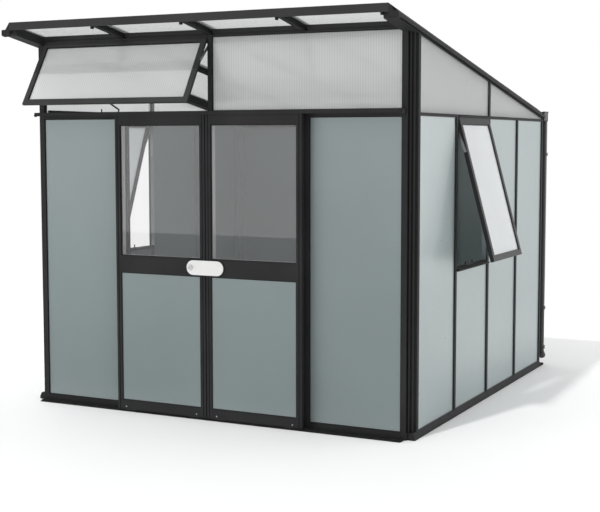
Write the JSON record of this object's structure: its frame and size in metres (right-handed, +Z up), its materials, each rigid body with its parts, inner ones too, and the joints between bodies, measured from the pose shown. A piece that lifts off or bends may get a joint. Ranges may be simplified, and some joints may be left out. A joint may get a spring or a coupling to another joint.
{
  "type": "lean-to garden shed",
  "caption": "Aluminium garden shed with a mono-pitch translucent roof, sliding double doors, an open front vent and open side windows.",
  "frame": {"origin": "on the ground, in the middle of the whole footprint with its overhang, gutter and open windows", "axes": "+X to the right along the front, +Y from the front to the back, +Z up"},
  "size_m": [3.0828, 3.0244, 2.412],
  "materials": {
    "frame": "satin",
    "wall_panel": "satin",
    "polycarbonate": "frosted",
    "roof_sheet": "frosted",
    "window_pane": "satin",
    "door_glass": "clear",
    "plastic_black": "matte",
    "stay_steel": "satin",
    "catch_white": "satin"
  },
  "bodies": {
    "shed": {"front_base": "frame", "rear_base": "frame", "side_bases": "frame", "door_track": "frame", "front_posts": "frame", "rear_posts": "frame", "front_mullions": "frame", "rear_mullions": "frame", "side_mullions": "frame", "head_rail": "frame", "door_hood": "frame", "front_wall_plate": "frame", "rafters": "frame", "verge_rafters": "frame", "verge_caps": "frame", "fascia": "frame", "glazing_bars": "frame", "gable_rails": "frame", "eaves_beam": "frame", "window_sills": "frame", "vent_sash": "frame", "left_window_sash": "frame", "right_window_sash": "frame", "front_panels": "wall_panel", "left_wall_panels": "wall_panel", "right_wall_panels": "wall_panel", "rear_panels": "wall_panel", "clerestory_panel": "polycarbonate", "gable_glazing": "polycarbonate", "vent_pane": "polycarbonate", "roof_panels": "roof_sheet", "window_panes": "window_pane", "verge_end_caps": "plastic_black", "gutter": "plastic_black", "downpipe": "plastic_black", "vent_stays": "stay_steel", "window_stays": "stay_steel"},
    "left_door": {"left_door_frame": "frame", "left_door_glass": "door_glass", "left_door_panel": "wall_panel", "left_door_glides": "plastic_black", "catch_knob": "catch_white"},
    "right_door": {"right_door_frame": "frame", "right_door_glass": "door_glass", "right_door_panel": "wall_panel", "right_door_glides": "plastic_black"},
    "catch": {"catch_plate": "catch_white"}
  },
  "joints": [
    {"name": "left_door_slide", "type": "slide", "parent": "shed", "child": "left_door", "axis": [-1, 0, 0], "range_m": [0, 0.6]},
    {"name": "right_door_slide", "type": "slide", "parent": "shed", "child": "right_door", "axis": [1, 0, 0], "range_m": [0, 0.6]},
    {"name": "catch_turn", "type": "hinge", "parent": "left_door", "child": "catch", "pos_m": [-0.101, -1.29824, 0.927], "axis": [0, -1, 0], "range_deg": [0, 90]}
  ]
}
